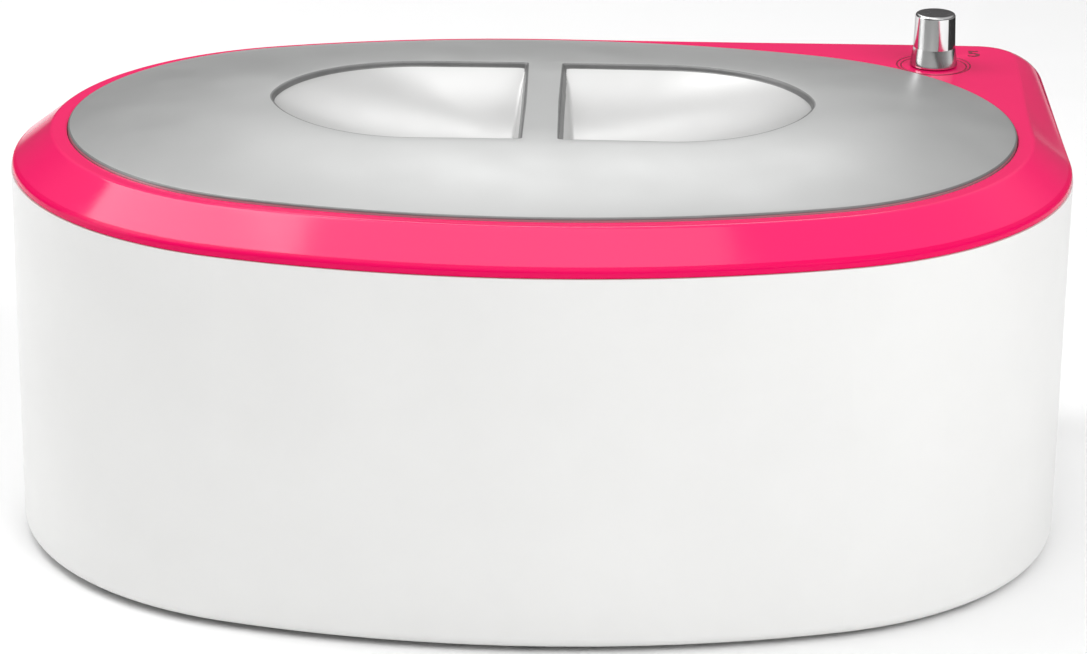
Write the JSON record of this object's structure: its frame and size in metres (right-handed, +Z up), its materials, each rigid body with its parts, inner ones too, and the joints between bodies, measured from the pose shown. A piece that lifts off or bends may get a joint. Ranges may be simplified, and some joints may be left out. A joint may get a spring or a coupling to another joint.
{
  "type": "wax warmer",
  "caption": "Table-top wax warmer: oval casing with a squared rear corner, bevelled cover, domed lid with two finger scoops, deep heated pot and a thermostat knob.",
  "frame": {"origin": "on the table under the middle of the casing", "axes": "+X to the right along the long side, +Y to the rear, +Z up"},
  "size_m": [0.385, 0.262, 0.1725],
  "materials": {
    "white_shell": "gloss moulded",
    "pink_cover": "high gloss moulded",
    "lid_silver": "satin silver paint",
    "knob_metal": "polished",
    "knob_plastic": "moulded",
    "base_plastic": "fine texture",
    "foot_rubber": "matt",
    "pot_aluminium": "drawn, satin",
    "silicone_seal": "matt",
    "sheet_steel": "galvanised",
    "heater_silicone": "matt",
    "glass_wool": "fibrous",
    "zinc_screw": "zinc plated",
    "thermostat_case": "phenolic moulding",
    "inlet_plastic": "moulded",
    "brass_pin": "bright",
    "copper_tube": "drawn",
    "spindle_steel": "turned",
    "fuse_case": "plated",
    "live_sleeve": "matt",
    "neutral_sleeve": "matt",
    "earth_sleeve": "matt",
    "heater_sleeve": "glass braid"
  },
  "bodies": {
    "root": {"base_plate": "base_plastic", "base_screws": "zinc_screw", "body_shell": "white_shell", "bracket_screws": "zinc_screw", "bulb_clip": "sheet_steel", "capillary_tube": "copper_tube", "clamp_ring_screws": "zinc_screw", "cover_screws": "zinc_screw", "deck_cover": "pink_cover", "earth_lead": "earth_sleeve", "earth_nut": "zinc_screw", "earth_tag": "brass_pin", "foot_screws": "zinc_screw", "fuse_clip": "sheet_steel", "heat_shield": "sheet_steel", "heater_lead": "heater_sleeve", "heater_mat": "heater_silicone", "inlet_nuts": "zinc_screw", "inlet_pins": "brass_pin", "inlet_screws": "zinc_screw", "insulation_pad": "glass_wool", "insulation_wrap": "glass_wool", "live_lead": "live_sleeve", "neutral_lead": "neutral_sleeve", "pot": "pot_aluminium", "pot_clamp_ring": "sheet_steel", "pot_gasket": "silicone_seal", "pot_studs": "zinc_screw", "power_inlet": "inlet_plastic", "rubber_foot_front_left": "foot_rubber", "rubber_foot_front_right": "foot_rubber", "rubber_foot_rear_left": "foot_rubber", "rubber_foot_rear_right": "foot_rubber", "sensor_bulb": "copper_tube", "stud_nuts": "zinc_screw", "switched_lead": "heater_sleeve", "thermal_fuse": "fuse_case", "thermostat_body": "thermostat_case", "thermostat_bracket": "sheet_steel", "thermostat_screws": "zinc_screw", "thermostat_tabs": "brass_pin"},
    "lid": {"lid": "lid_silver"},
    "knob": {"knob_shell": "knob_metal", "knob_insert": "knob_plastic", "thermostat_shaft": "spindle_steel"}
  },
  "joints": [
    {"name": "lid_lift", "type": "slide", "parent": "root", "child": "lid", "axis": [0, 0, 1], "range_m": [0, 0.08]},
    {"name": "knob_turn", "type": "hinge", "parent": "root", "child": "knob", "pos_m": [0.147, 0.0886, 0.152], "axis": [0, 0, -1], "range_deg": [0, 270]}
  ]
}
